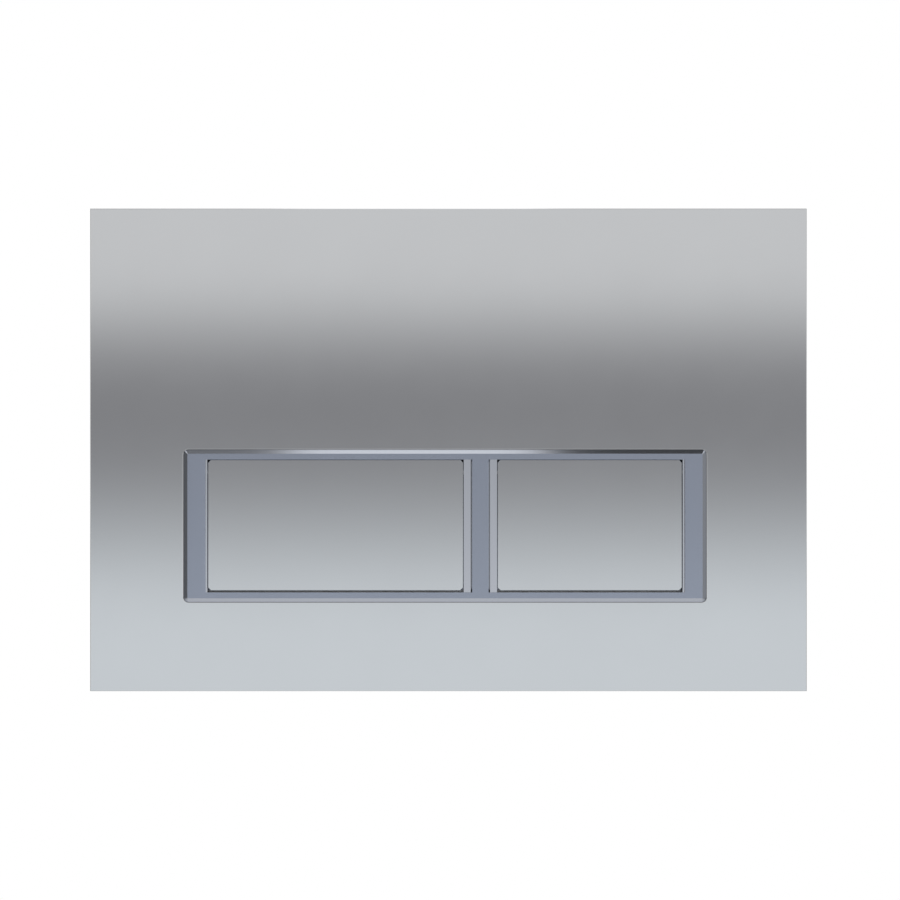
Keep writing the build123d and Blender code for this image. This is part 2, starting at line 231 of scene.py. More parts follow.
class Bench:
    """Adds nodes to one node tree."""

    # Sockets of a Mix node that mixes colours
    MIX_SHARE, MIX_FIRST, MIX_SECOND, MIX_RESULT = 0, 6, 7, 2

    def __init__(self, tree: bpy.types.NodeTree) -> None:
        """Empties the tree."""
        self.tree = tree
        tree.nodes.clear()

    def add(
        self,
        kind: str,
        settings: Mapping[str, Any] | None = None,
        inputs: Mapping[str | int, Any] | None = None,
    ) -> bpy.types.Node:
        """Adds a node.

        Args:
            kind: The node's type.
            settings: Properties that are set first; "stops" holds a ramp's (place, colour) pairs.
            inputs: A number, colour, value or output for each named socket.

        Returns:
            The node.
        """
        node = self.tree.nodes.new(kind)
        for name, setting in (settings or {}).items():
            if name == "stops":
                self._set_stops(node.color_ramp, setting)
            else:
                setattr(node, name, setting)
        for name, given in (inputs or {}).items():
            if isinstance(given, Value):
                given = given.socket
            if isinstance(given, bpy.types.NodeSocket):
                self.tree.links.new(given, node.inputs[name])
            else:
                node.inputs[name].default_value = given
        return node

    def value(
        self,
        kind: str,
        settings: Mapping[str, Any] | None = None,
        inputs: Mapping[str | int, Any] | None = None,
        output: str | int = 0,
    ) -> Value:
        """Adds a node and wraps one of its outputs.

        Args:
            kind: The node's type.
            settings: As for add.
            inputs: As for add.
            output: The output's name or number.

        Returns:
            The wrapped output.
        """
        return Value(self, self.add(kind, settings, inputs).outputs[output])

    @staticmethod
    def _set_stops(ramp: bpy.types.ColorRamp, stops: list[tuple[float, Colour]]) -> None:
        """Sets a ramp's stops, which ease into each other.

        Args:
            ramp: The ramp.
            stops: Place and colour of each stop, in order.
        """
        ramp.interpolation = "EASE"
        while len(ramp.elements) < len(stops):
            ramp.elements.new(1.0)
        for element, (place, colour) in zip(ramp.elements, stops):
            element.position = place
            element.color = colour

    def colour_mix(self, share: Any, first: Any, second: Any) -> bpy.types.NodeSocket:
        """Mixes two colours.

        Args:
            share: How much of the second colour shows.
            first: The first colour.
            second: The second colour.

        Returns:
            The mixed colour's output.
        """
        inputs = {self.MIX_SHARE: share, self.MIX_FIRST: first, self.MIX_SECOND: second}
        return self.add("ShaderNodeMix", {"data_type": "RGBA"}, inputs).outputs[self.MIX_RESULT]

    def read(self, reading: Reading) -> bpy.types.NodeSocket:
        """Returns the place or the normal of each point."""
        return self.add("ShaderNodeTexCoord").outputs[reading.value]

    def along(self, axis: str, reading: Reading = Reading.PLACE) -> Value:
        """Returns the place or the normal along one axis of the frame."""
        return self.value("ShaderNodeSeparateXYZ", inputs={0: self.read(reading)}, output=axis)

    def away(self) -> Value:
        """Returns the distance from the frame's origin."""
        inputs = {0: self.read(Reading.PLACE)}
        return self.value("ShaderNodeVectorMath", {"operation": "LENGTH"}, inputs, "Value")

    def grain(self, per_metre: float, detail: float, lie: Surface = Surface.EVEN) -> Value:
        """Adds a noise that is fixed to the piece.

        Args:
            per_metre: How fine the noise is.
            detail: How many octaves it has.
            lie: Which way it is drawn out.

        Returns:
            The noise, from 0 to 1.
        """
        inputs = {"Vector": self.read(Reading.PLACE), "Scale": lie.value}
        place = self.add("ShaderNodeMapping", inputs=inputs).outputs[0]
        inputs = {"Vector": place, "Scale": per_metre, "Detail": detail}
        return self.value("ShaderNodeTexNoise", inputs=inputs)


def new_material(name: str) -> tuple[bpy.types.Material, Bench]:
    """Adds an empty material.

    Args:
        name: The material's name.

    Returns:
        The material and the bench of its nodes.
    """
    material = bpy.data.materials.new(name)
    material.use_nodes = True
    return material, Bench(material.node_tree)


@dataclass(frozen=True)
class Finish:
    """A surface finish.

    Its grain shifts the colour, the roughness and the height of the surface.
    """

    name: str
    slot: str
    colour: Colour
    second_colour: Colour
    metallic: float
    roughness: float
    roughness_spread: float
    grain_per_metre: float
    grain_depth: float
    lie: Surface = Surface.EVEN
    grain_detail: float = 4.0
    cloud_per_metre: float = 30.0
    cloud_detail: float = 3.0

    def material(self) -> bpy.types.Material:
        """Builds the material.

        Returns:
            The material.
        """
        material, bench = new_material(self.name)
        clouds = bench.grain(self.cloud_per_metre, self.cloud_detail)
        grain = bench.grain(self.grain_per_metre, self.grain_detail, self.lie)
        bump = bench.add(
            "ShaderNodeBump",
            inputs={"Strength": 1.0, "Distance": self.grain_depth, "Height": self.height(bench, grain)},
        )
        shader = bench.add(
            "ShaderNodeBsdfPrincipled",
            inputs={
                "Base Color": self.tint(bench, clouds),
                "Metallic": self.metallic,
                "Roughness": self.rough(bench, clouds, grain),
                "Normal": bump.outputs[0],
            },
        )
        bench.add("ShaderNodeOutputMaterial", inputs={"Surface": shader.outputs[0]})
        return material

    def tint(self, bench: Bench, clouds: Value) -> bpy.types.NodeSocket:
        """Returns the colour, which drifts between the finish's two colours."""
        return bench.colour_mix(clouds, self.colour, self.second_colour)

    def drift(self, clouds: Value, grain: Value) -> Value:
        """Returns how far the roughness drifts from its middle."""
        return self.roughness_spread * (clouds + grain - 1.0)

    def rough(self, bench: Bench, clouds: Value, grain: Value) -> Value:
        """Returns the roughness, which drifts with both noises."""
        return self.roughness + self.drift(clouds, grain)

    def height(self, bench: Bench, grain: Value) -> Value:
        """Returns the height of the surface's grain, from 0 to 1."""
        return grain


@dataclass(frozen=True)
class PlatedFinish(Finish):
    """Plating that is polished at the front and outside, and thin and dull on the back.

    The back is what faces the wall, and what lies behind a level inside of the plate's outer walls.
    """

    polish_y: float = front_of("face_plate") + 2.1 * MM
    inside_x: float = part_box("face_plate")[1].x - 0.2 * MM
    inside_z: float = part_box("face_plate")[1].z - 0.2 * MM
    facing_wall: float = 0.3
    back_colour: Colour = (0.33, 0.335, 0.345, 1.0)
    back_roughness: float = 0.36

    def back(self, bench: Bench) -> Value:
        """Works out where the back is.

        Args:
            bench: The material's bench.

        Returns:
            1 on the back and 0 elsewhere.
        """
        inside = bench.along("Y").over(self.polish_y)
        for axis, reach in (("X", self.inside_x), ("Z", self.inside_z)):
            inside = inside * (1.0 - abs(bench.along(axis)).over(reach))
        return inside | bench.along("Y", Reading.NORMAL).over(self.facing_wall)

    def tint(self, bench: Bench, clouds: Value) -> bpy.types.NodeSocket:
        """Returns the colour, with the duller back."""
        return bench.colour_mix(self.back(bench), self.front_tint(bench, clouds), self.back_colour)

    def front_tint(self, bench: Bench, clouds: Value) -> bpy.types.NodeSocket:
        """Returns the colour of the polished side."""
        return super().tint(bench, clouds)

    def rough(self, bench: Bench, clouds: Value, grain: Value) -> Value:
        """Works out the roughness, with the rougher back.

        Args:
            bench: The material's bench.
            clouds: The broad noise.
            grain: The fine noise.

        Returns:
            The roughness.
        """
        back = self.back(bench)
        dull = self.back_roughness + self.drift(clouds, grain)
        return self.front_rough(bench, clouds, grain) * (1.0 - back) + dull * back

    def front_rough(self, bench: Bench, clouds: Value, grain: Value) -> Value:
        """Returns the roughness of the polished side."""
        return super().rough(bench, clouds, grain)


@dataclass(frozen=True)
class SatinFinish(PlatedFinish):
    """Plating that is satin on faces square to the front and polished on edges and slopes."""

    edge_colour: Colour = (0.47, 0.495, 0.55, 1.0)
    edge_roughness: float = 0.09
    face_from: float = 0.97
    face_to: float = 0.995

    def flat(self, bench: Bench) -> Value:
        """Returns 1 on faces square to the front and 0 on slopes."""
        return (0.0 - bench.along("Y", Reading.NORMAL)).eased(self.face_from, self.face_to)

    def front_tint(self, bench: Bench, clouds: Value) -> bpy.types.NodeSocket:
        """Returns the colour, which is plainer on polished edges."""
        return bench.colour_mix(self.flat(bench), self.edge_colour, super().front_tint(bench, clouds))

    def front_rough(self, bench: Bench, clouds: Value, grain: Value) -> Value:
        """Returns the roughness, which is less on polished edges."""
        satin = super().front_rough(bench, clouds, grain)
        return self.edge_roughness + self.flat(bench) * (satin - self.edge_roughness)

    def height(self, bench: Bench, grain: Value) -> Value:
        """Returns the grain's height, which is nothing on polished edges."""
        return grain * self.flat(bench)


BRIGHT_CHROME = PlatedFinish(
    name="bright_chrome_plating",
    slot="bright_chrome",
    colour=(0.80, 0.81, 0.825, 1.0),
    second_colour=(0.78, 0.79, 0.805, 1.0),
    metallic=1.0,
    roughness=0.07,
    roughness_spread=0.02,
    grain_per_metre=90.0,
    grain_depth=0.4e-6,
)
BUTTON_CHROME = replace(
    BRIGHT_CHROME,
    name="button_chrome_plating",
    polish_y=front_of("large_button") + 5.5 * MM,
    back_colour=(0.70, 0.705, 0.715, 1.0),
)
SATIN_CHROME = SatinFinish(
    name="satin_chrome_plating",
    slot="satin_chrome",
    colour=(0.485, 0.525, 0.625, 1.0),
    second_colour=(0.455, 0.495, 0.595, 1.0),
    metallic=1.0,
    roughness=0.20,
    roughness_spread=0.03,
    grain_per_metre=5200.0,
    grain_depth=1.5e-6,
    polish_y=front_of("button_surround") + 6.1 * MM,
    back_colour=(0.24, 0.26, 0.30, 1.0),
    back_roughness=0.4,
)
STAINLESS = Finish(
    name="drawn_stainless_steel",
    slot="stainless_steel",
    colour=(0.60, 0.59, 0.575, 1.0),
    second_colour=(0.50, 0.49, 0.48, 1.0),
    metallic=1.0,
    roughness=0.26,
    roughness_spread=0.1,
    grain_per_metre=4000.0,
    grain_depth=4.0e-6,
    lie=Surface.DRAWN_ACROSS,
    cloud_per_metre=120.0,
)
ZINC = Finish(
    name="zinc_plated_steel",
    slot="zinc_steel",
    colour=(0.66, 0.68, 0.70, 1.0),
    second_colour=(0.60, 0.59, 0.52, 1.0),
    metallic=1.0,
    roughness=0.33,
    roughness_spread=0.1,
    grain_per_metre=2500.0,
    grain_depth=4.0e-6,
    cloud_per_metre=260.0,
)
FRAME_PLASTIC = Finish(
    name="grey_moulded_plastic",
    slot="frame_plastic",
    colour=(0.055, 0.058, 0.064, 1.0),
    second_colour=(0.040, 0.042, 0.047, 1.0),
    metallic=0.0,
    roughness=0.52,
    roughness_spread=0.12,
    grain_per_metre=1700.0,
    grain_depth=2.5e-5,
)
WHITE_PLASTIC = Finish(
    name="natural_moulded_plastic",
    slot="white_plastic",
    colour=(0.74, 0.735, 0.69, 1.0),
    second_colour=(0.66, 0.655, 0.61, 1.0),
    metallic=0.0,
    roughness=0.42,
    roughness_spread=0.12,
    grain_per_metre=1300.0,
    grain_depth=1.0e-5,
    cloud_per_metre=60.0,
)
RUBBER = Finish(
    name="soft_black_rubber",
    slot="buffer_rubber",
    colour=(0.018, 0.018, 0.018, 1.0),
    second_colour=(0.03, 0.03, 0.03, 1.0),
    metallic=0.0,
    roughness=0.8,
    roughness_spread=0.15,
    grain_per_metre=3000.0,
    grain_depth=2.0e-5,
)


@lru_cache(maxsize=None)
def material_of(finish: Finish) -> bpy.types.Material:
    """Returns the one material of a finish."""
    return finish.material()


def placed(name: str, data: bpy.types.ID) -> bpy.types.Object:
    """Adds an object to the scene.

    Args:
        name: The object's name.
        data: Its mesh, curve, lamp or camera.

    Returns:
        The object.
    """
    added = bpy.data.objects.new(name, data)
    bpy.context.scene.collection.objects.link(added)
    return added


def select_none() -> None:
    """Leaves nothing selected."""
    bpy.ops.object.select_all(action="DESELECT")


def select_only(*objects: bpy.types.Object) -> None:
    """Leaves only these objects selected, with the first one active.

    Args:
        objects: The objects.
    """
    select_none()
    for each in objects:
        each.select_set(True)
    bpy.context.view_layer.objects.active = objects[0]


def apply_place(piece: bpy.types.Object) -> None:
    """Moves a piece's place, turn and scale into its mesh."""
    select_only(piece)
    bpy.ops.object.transform_apply(location=True, rotation=True, scale=True)


def apply_modifier(piece: bpy.types.Object, kind: str, **settings: Any) -> None:
    """Adds one modifier and applies it.

    Args:
        piece: The piece.
        kind: The modifier's type.
        settings: The modifier's properties.
    """
    modifier = piece.modifiers.new(kind.title(), kind)
    for name, setting in settings.items():
        setattr(modifier, name, setting)
    select_only(piece)
    bpy.ops.object.modifier_apply(modifier=modifier.name)


@contextmanager
def editing(piece: bpy.types.Object, part: Part = Part.FACE) -> Iterator[None]:
    """Opens a piece in edit mode with all of it selected.

    Args:
        piece: The piece.
        part: What the selection is made of.

    Yields:
        Nothing.
    """
    select_only(piece)
    bpy.ops.object.mode_set(mode="EDIT")
    bpy.ops.mesh.select_mode(type=part.value)
    bpy.ops.mesh.select_all(action="SELECT")
    yield
    bpy.ops.object.mode_set(mode="OBJECT")


@contextmanager
def editing_chosen(piece: bpy.types.Object, part: Part, chosen: Callable[[Any], bool]) -> Iterator[None]:
    """Opens a piece in edit mode with some of its edges or faces selected.

    Args:
        piece: The piece.
        part: What the selection is made of.
        chosen: Tells whether an edge or a face is selected.

    Yields:
        Nothing.
    """
    with editing(piece, part):
        bpy.ops.mesh.select_all(action="DESELECT")
        bpy.ops.object.mode_set(mode="OBJECT")
        for each in piece.data.edges if part is Part.EDGE else piece.data.polygons:
            each.select = chosen(each)
        bpy.ops.object.mode_set(mode="EDIT")
        yield


def smooth(piece: bpy.types.Object) -> None:
    """Shades a piece smooth, apart from its corners, and keeps its large faces flat.

    Args:
        piece: The piece.
    """
    select_only(piece)
    bpy.ops.object.shade_smooth_by_angle(angle=SMOOTH_BELOW)
    apply_modifier(piece, "WEIGHTED_NORMAL", weight=LARGE_FACES_LEAD, keep_sharp=True)


def bevel_rims(piece: bpy.types.Object, width: float, cut: EdgeCut, upper: bool = True) -> None:
    """Cuts the edges of a piece's flat ends.

    Args:
        piece: The piece, which stands along Z.
        width: The cut's width.
        cut: The kind of cut.
        upper: Whether the upper end is cut too.
    """
    heights = [vertex.co.z for vertex in piece.data.vertices]
    top = max(heights) if upper else (min(heights) + max(heights)) / 2

    def on_rim(edge: bpy.types.MeshEdge) -> bool:
        """Tells whether an edge lies level, at an end that is cut."""
        first, second = (heights[index] for index in edge.vertices)
        return abs(first - second) < SAME_HEIGHT and first <= top

    with editing_chosen(piece, Part.EDGE, on_rim):
        bpy.ops.mesh.bevel(offset=width, segments=cut.value, affect="EDGES")


def carve(piece: bpy.types.Object, tool: bpy.types.Object, left: Carving) -> None:
    """Cuts a piece with a tool, which is then thrown away.

    Args:
        piece: The piece.
        tool: The cutting solid.
        left: What is left of the piece.
    """
    apply_modifier(piece, "BOOLEAN", operation=left.value, object=tool, solver="EXACT")
    bpy.data.objects.remove(tool, do_unlink=True)


def join(pieces: list[bpy.types.Object], name: str) -> bpy.types.Object:
    """Joins pieces into one.

    Args:
        pieces: The pieces.
        name: The joined piece's name.

    Returns:
        The joined piece.
    """
    select_only(*pieces)
    bpy.ops.object.join()
    pieces[0].name = name
    return pieces[0]


def shifted_copy(piece: bpy.types.Object, offset: Vector) -> bpy.types.Object:
    """Copies a piece, with a mesh of its own, to another place.

    Args:
        piece: The piece.
        offset: How far from it the copy lies.

    Returns:
        The copy.
    """
    select_only(piece)
    bpy.ops.object.duplicate(linked=False)
    copy = bpy.context.active_object
    copy.location = offset
    apply_place(copy)
    return copy


def lay(piece: bpy.types.Object, centre: Vector, facing: Facing) -> None:
    """Lays a piece down at its place.

    Args:
        piece: The piece, which stands along Z at the origin.
        centre: The place of its origin.
        facing: Where its top points.
    """
    piece.rotation_euler = (facing.value * math.pi / 2, 0.0, 0.0)
    piece.location = centre
    apply_place(piece)


def cylinder(radius: float, low: float, high: float, sides: int = 64) -> bpy.types.Object:
    """Adds a cylinder along Z.

    Args:
        radius: Its radius.
        low: Its lower end.
        high: Its upper end.
        sides: Its number of sides.

    Returns:
        The cylinder.
    """
    select_none()
    bpy.ops.mesh.primitive_cylinder_add(
        vertices=sides, radius=radius, depth=high - low, location=(0, 0, (low + high) / 2)
    )
    added = bpy.context.active_object
    apply_place(added)
    return added


def block(size: tuple[float, float, float], height: float = 0.0, turn: float = 0.0) -> bpy.types.Object:
    """Adds a block on the Z axis.

    Args:
        size: Its size.
        height: The height of its centre.
        turn: How far it is turned about Z.

    Returns:
        The block.
    """
    select_none()
    bpy.ops.mesh.primitive_cube_add(size=1.0, location=(0, 0, height), rotation=(0, 0, turn))
    added = bpy.context.active_object
    added.scale = size
    apply_place(added)
    return added


def carried(node: str, bevel: float = 0.0) -> bpy.types.Object:
    """Copies a solid's mesh, merges it and rounds its edges.

    Args:
        node: The solid's name.
        bevel: Width of the rounding on sharp edges, or 0 for none.

    Returns:
        The copy.
    """
    piece = placed(f"{node}_finished", frame["nodes"][node].data.copy())
    with editing(piece):
        bpy.ops.mesh.customdata_custom_splitnormals_clear()
        bpy.ops.mesh.remove_doubles(threshold=SAME_POINT)
        bpy.ops.mesh.dissolve_limited(angle_limit=SAME_PLANE)
    if bevel:
        apply_modifier(
            piece,
            "BEVEL",
            width=bevel,
            segments=EdgeCut.ROUND.value,
            limit_method="ANGLE",
            angle_limit=SHARP_ABOVE,
            use_clamp_overlap=True,
        )
    smooth(piece)
    return piece


def settle(piece: bpy.types.Object, node: str, finish: Finish) -> None:
    """Gives a piece its finish and its place on the body of the solid that it stands for.

    Args:
        piece: The piece.
        node: The solid that it stands for.
        finish: Its finish.
    """
    piece.data.materials.clear()
    piece.data.materials.append(material_of(finish))
    for polygon in piece.data.polygons:
        polygon.material_index = 0
    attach(piece, frame["nodes"][node]["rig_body"])
    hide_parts(node)
    log.info("%s: %d faces, %s", piece.name, len(piece.data.polygons), finish.name)


@dataclass
class ThreadedBar:
    """A bar along Z with a V thread between two heights."""

    radius: float
    low: float
    high: float
    pitch: float
    depth_share: float = 0.32
    foot_share: float = 0.30
    section_corners: int = 4
    run_out_turns: float = 0.5
    end_bevel: float = 0.6 * MM
    turn_steps: int = 36

    def build(self) -> bpy.types.Object:
        """Builds the bar's core and the ridge of its thread.

        Returns:
            The bar.
        """
        depth = self.depth_share * self.pitch
        core = cylinder(self.radius - depth, self.low, self.high)
        bevel_rims(core, self.end_bevel, EdgeCut.CHAMFER)
        return join([core, self.ridge(depth)], "threaded_bar")

    def ridge(self, depth: float) -> bpy.types.Object:
        """Carries a four-cornered section round the core.

        Args:
            depth: The thread's depth.

        Returns:
            The ridge.
        """
        start = self.low + self.end_bevel + self.run_out_turns * self.pitch
        turns = int((self.high - self.end_bevel - start) / self.pitch - self.run_out_turns)
        select_none()
        bpy.ops.mesh.primitive_circle_add(
            vertices=self.section_corners,
            radius=depth,
            rotation=(math.pi / 2, 0, 0),
            location=(self.radius - depth, 0, start),
        )
        ridge = bpy.context.active_object
        ridge.scale.y = self.foot_share * self.pitch / depth
        apply_place(ridge)
        apply_modifier(
            ridge,
            "SCREW",
            axis="Z",
            angle=2 * math.pi,
            screw_offset=self.pitch,
            iterations=turns,
            steps=self.turn_steps,
            render_steps=self.turn_steps,
        )
        with editing(ridge, Part.EDGE):
            bpy.ops.mesh.remove_doubles(threshold=SAME_POINT)
            bpy.ops.mesh.fill_holes(sides=self.section_corners)
            bpy.ops.mesh.select_all(action="SELECT")
            bpy.ops.mesh.normals_make_consistent(inside=False)
        return ridge


@dataclass
class HexNut:
    """A hexagon nut along Z, from 0 upwards, with chamfered corners."""

    width: float
    height: float
    bore_radius: float
    corner_share: float = 1.10
    chamfer_share: float = 0.09

    def build(self) -> bpy.types.Object:
        """Builds the nut.

        Returns:
            The nut.
        """
        nut = cylinder(self.width / math.sqrt(3), 0.0, self.height, sides=6)
        nut.rotation_euler.z = math.pi / 6
        apply_place(nut)
        barrel = cylinder(self.width / 2 * self.corner_share, 0.0, self.height)
        bevel_rims(barrel, self.chamfer_share * self.width, EdgeCut.CHAMFER)
        carve(nut, barrel, Carving.INSIDE)
        carve(nut, cylinder(self.bore_radius, -self.height, 2 * self.height), Carving.OUTSIDE)
        smooth(nut)
        return nut


@dataclass
class CrossHeadScrew:
    """A small screw along Z with a round head, from the top of its head at 0 to its tip."""

    radius: float
    head_radius: float
    head: float
    length: float
    pitch: float = 0.9 * MM
    turn_steps: int = 20
    head_bevel: float = 0.7 * MM
    recess_reach_share: float = 1.3
    recess_width: float = 0.7 * MM
    recess_depth: float = 1.1 * MM
    recess_taper: float = 0.6
    tip_bevel: float = 0.3 * MM

    def build(self) -> bpy.types.Object:
        """Builds the screw.

        Returns:
            The screw.
        """
        head = cylinder(self.head_radius, 0.0, self.head)
        bevel_rims(head, self.head_bevel, EdgeCut.ROUND, upper=False)
        for turn in (0.0, math.pi / 2):
            carve(head, self.recess_blade(turn), Carving.OUTSIDE)
        thread = ThreadedBar(
            self.radius,
            self.head / 2,
            self.head + self.length,
            self.pitch,
            end_bevel=self.tip_bevel,
            turn_steps=self.turn_steps,
        )
        return join([head, thread.build()], "cross_head_screw")

    def recess_blade(self, turn: float) -> bpy.types.Object:
        """Builds one blade of the cross recess, narrower at its foot.

        Args:
            turn: How far it is turned about the axis.

        Returns:
            The blade.
        """
        reach = self.recess_reach_share * self.head_radius
        blade = block((reach, self.recess_width, 2 * self.recess_depth), turn=turn)
        with editing_chosen(blade, Part.FACE, lambda face: face.center.z > SAME_HEIGHT):
            bpy.ops.transform.resize(
                value=(self.recess_taper, self.recess_taper, 1.0), center_override=(0.0, 0.0, 0.0)
            )
        return blade


@dataclass
class PlateShells:
    """The plate, its surround, the screws between them and the hinge pins."""

    window_rounding: float = 0.3 * MM
    plate_margin: float = 5.0 * MM
    surround_bevel: float = 0.06 * MM
    screw_radius: float = 1.4 * MM
    screw_head_radius: float = 2.6 * MM
    screw_head: float = 1.8 * MM

    def build(self) -> None:
        """Builds and dresses the pieces that stand still at the front."""
        self.build_plate()
        settle(carried("button_surround", self.surround_bevel), "button_surround", SATIN_CHROME)
        self.build_screws()
        for side in Side:
            pin = f"{side.value}_hinge_pin"
            settle(carried(pin), pin, STAINLESS)

    def build_plate(self) -> None:
        """Builds the plate and rounds the front edge of its window."""
        low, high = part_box("face_plate")
        plate = carried("face_plate")
        in_face = [
            abs(vertex.co.y - low.y) < SAME_HEIGHT
            and low.x + self.plate_margin < vertex.co.x < high.x - self.plate_margin
            for vertex in plate.data.vertices
        ]
        with editing_chosen(plate, Part.EDGE, lambda edge: all(in_face[end] for end in edge.vertices)):
            bpy.ops.mesh.bevel(
                offset=self.window_rounding, segments=EdgeCut.FINE_ROUND.value, affect="EDGES"
            )
        smooth(plate)
        settle(plate, "face_plate", BRIGHT_CHROME)

    def build_screws(self) -> None:
        """Builds one screw and copies it to the other corners."""
        node = "module_screws"
        low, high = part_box(node)
        reach = self.screw_head_radius
        length = high.y - low.y - self.screw_head
        screw = CrossHeadScrew(self.screw_radius, reach, self.screw_head, length).build()
        lay(screw, Vector((low.x + reach, high.y, low.z + reach)), Facing.OUTWARDS)
        smooth(screw)
        across = Vector((high.x - low.x - 2 * reach, 0.0, 0.0))
        up = Vector((0.0, 0.0, high.z - low.z - 2 * reach))
        copies = [shifted_copy(screw, offset) for offset in (across, up, across + up)]
        settle(join([screw, *copies], f"{node}_cross_head"), node, ZINC)


@dataclass
class FlushButton:
    """One button with its buffers."""

    side: Side
    edge_bevel: float = 0.05 * MM
    buffer_bevel: float = 0.2 * MM

    def build(self) -> None:
        """Builds and dresses the button."""
        button = f"{self.side.value}_button"
        settle(carried(button, self.edge_bevel), button, BUTTON_CHROME)
        buffers = f"{self.side.value}_buffers"
        settle(carried(buffers, self.buffer_bevel), buffers, RUBBER)


@dataclass
class PushRodSets:
    """What slides behind the buttons: pistons, rods and lock nuts, with the return springs round them.

    Each piece is modelled behind the large button and copied to the small one.
    """

    pitch: float = 1.5 * MM
    piston_bevel: float = 0.3 * MM
    wire: float = 0.9 * MM
    spring_radius: float = 5.95 * MM
    active_turns: int = 4
    end_turns: int = 1
    turn_points: int = 32
    wire_rounding: int = 3
    seat_clearance: float = 0.15 * MM
    seat_gap: float = 0.03 * MM

    def build(self) -> None:
        """Builds and dresses both sets."""
        offset = middle("small_piston") - middle("large_piston")
        for piece, build, finish in (
            ("piston", self.build_piston, WHITE_PLASTIC),
            ("push_rod", self.build_rod, WHITE_PLASTIC),
            ("lock_nut", self.build_lock_nut, FRAME_PLASTIC),
            ("spring", self.build_spring, STAINLESS),
        ):
            made = build()
            for side, finished in ((Side.SMALL, shifted_copy(made, offset)), (Side.LARGE, made)):
                finished.name = f"{side.value}_{piece}_finished"
                settle(finished, f"{side.value}_{piece}", finish)
                if piece == "spring":
                    self.squash(finished, side)

    def build_piston(self) -> bpy.types.Object:
        """Returns the large button's piston with rounded edges."""
        return carried("large_piston", self.piston_bevel)

    @staticmethod
    def rod_radius() -> float:
        """Returns the push rod's radius."""
        low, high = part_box("large_push_rod")
        return (high.x - low.x) / 2

    def build_rod(self) -> bpy.types.Object:
        """Builds the threaded rod.

        Returns:
            The rod.
        """
        low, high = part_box("large_push_rod")
        centre = middle("large_push_rod")
        rod = ThreadedBar(self.rod_radius(), low.y, high.y, self.pitch).build()
        lay(rod, Vector((centre.x, 0.0, centre.z)), Facing.INWARDS)
        smooth(rod)
        return rod

    def build_lock_nut(self) -> bpy.types.Object:
        """Builds the lock nut.

        Returns:
            The nut.
        """
        low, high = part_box("large_lock_nut")
        centre = middle("large_lock_nut")
        nut = HexNut(high.z - low.z, high.y - low.y, self.rod_radius()).build()
        lay(nut, Vector((centre.x, low.y, centre.z)), Facing.INWARDS)
        return nut

    def spring_ends(self) -> tuple[float, float]:
        """Returns where the spring's seats lie: behind the piston's head and on the frame."""
        low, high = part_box("large_spring")
        return low.y - self.seat_clearance, high.y + self.seat_clearance

    def build_spring(self) -> bpy.types.Object:
        """Builds the return spring in round wire, with closed ends, between its seats.

        Returns:
            The spring.
        """
        centre = middle("large_piston")
        front, back = self.spring_ends()
        margin = self.wire / 2 + self.seat_gap
        path = bpy.data.curves.new("round_wire", "CURVE")
        path.dimensions = "3D"
        path.bevel_depth = self.wire / 2
        path.bevel_resolution = self.wire_rounding
        path.use_fill_caps = True
        points = self.coil_points(front + margin, back - margin)
        spline = path.splines.new("POLY")
        spline.points.add(len(points) - 1)
        for point, (x, y, z) in zip(spline.points, points):
            point.co = (centre.x + x, y, centre.z + z, 1.0)
        select_only(placed("round_wire", path))
        bpy.ops.object.convert(target="MESH")
        spring = bpy.context.active_object
        smooth(spring)
        return spring

    def coil_points(self, front: float, back: float) -> list[tuple[float, float, float]]:
        """Works out the wire's centre line.

        Args:
            front: Where it starts.
            back: Where it ends.

        Returns:
            The points, round the rod's axis.
        """
        turns = self.active_turns + 2 * self.end_turns
        end_rise = self.end_turns * self.wire
        points = []
        for step in range(turns * self.turn_points + 1):
            turn = step / self.turn_points
            along = min(max(turn - self.end_turns, 0.0), self.active_turns) / self.active_turns
            closed = min(turn, self.end_turns) + max(turn - self.end_turns - self.active_turns, 0.0)
            y = front + closed * self.wire + along * (back - front - 2 * end_rise)
            angle = 2 * math.pi * turn
            points.append((self.spring_radius * math.cos(angle), y, self.spring_radius * math.sin(angle)))
        return points

    def squash(self, spring: bpy.types.Object, side: Side) -> None:
        """Gives a spring a mesh of its own; how far it would shorten as its rod slides is worked out but
        not used.

        Args:
            spring: The spring.
            side: Its button.
        """
        front, back = self.spring_ends()
        joint = next(each for each in frame["joints"] if each["name"] == f"{side.value}_rod_slide")
        (back - front - max(joint["range_m"])) / (back - front)
        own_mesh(spring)


@dataclass
class MountingSet:
    """The mounting frame with its two fixing screws and their nuts."""

    frame_bevel: float = 0.25 * MM
    pitch: float = 2.0 * MM
    shoulder_radius: float = 4.5 * MM
    shoulder_overrun: float = 1.0 * MM
    shoulder_bevel: float = 0.3 * MM
    thread_radius: float = 4.0 * MM
    head: float = 3.6 * MM
    head_bevel: float = 0.5 * MM
    slot_reach_share: float = 3.0
    slot_width: float = 2.0 * MM
    slot_depth: float = 2.0 * MM

    def build(self) -> None:
        """Builds and dresses the set."""
        settle(carried("mounting_frame", self.frame_bevel), "mounting_frame", FRAME_PLASTIC)
        low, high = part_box("fixing_screws")
        reach = (high.z - low.z) / 2
        first = Vector((low.x + reach, 0.0, low.z + reach))
        offset = Vector((high.x - low.x - 2 * reach, 0.0, 0.0))
        for node, made, finish in (
            ("fixing_screws", self.build_screw(), WHITE_PLASTIC),
            ("clamp_nuts", self.build_nut(), FRAME_PLASTIC),
        ):
            lay(made, first, Facing.INWARDS)
            pair = join([made, shifted_copy(made, offset)], f"{node}_finished")
            smooth(pair)
            settle(pair, node, finish)

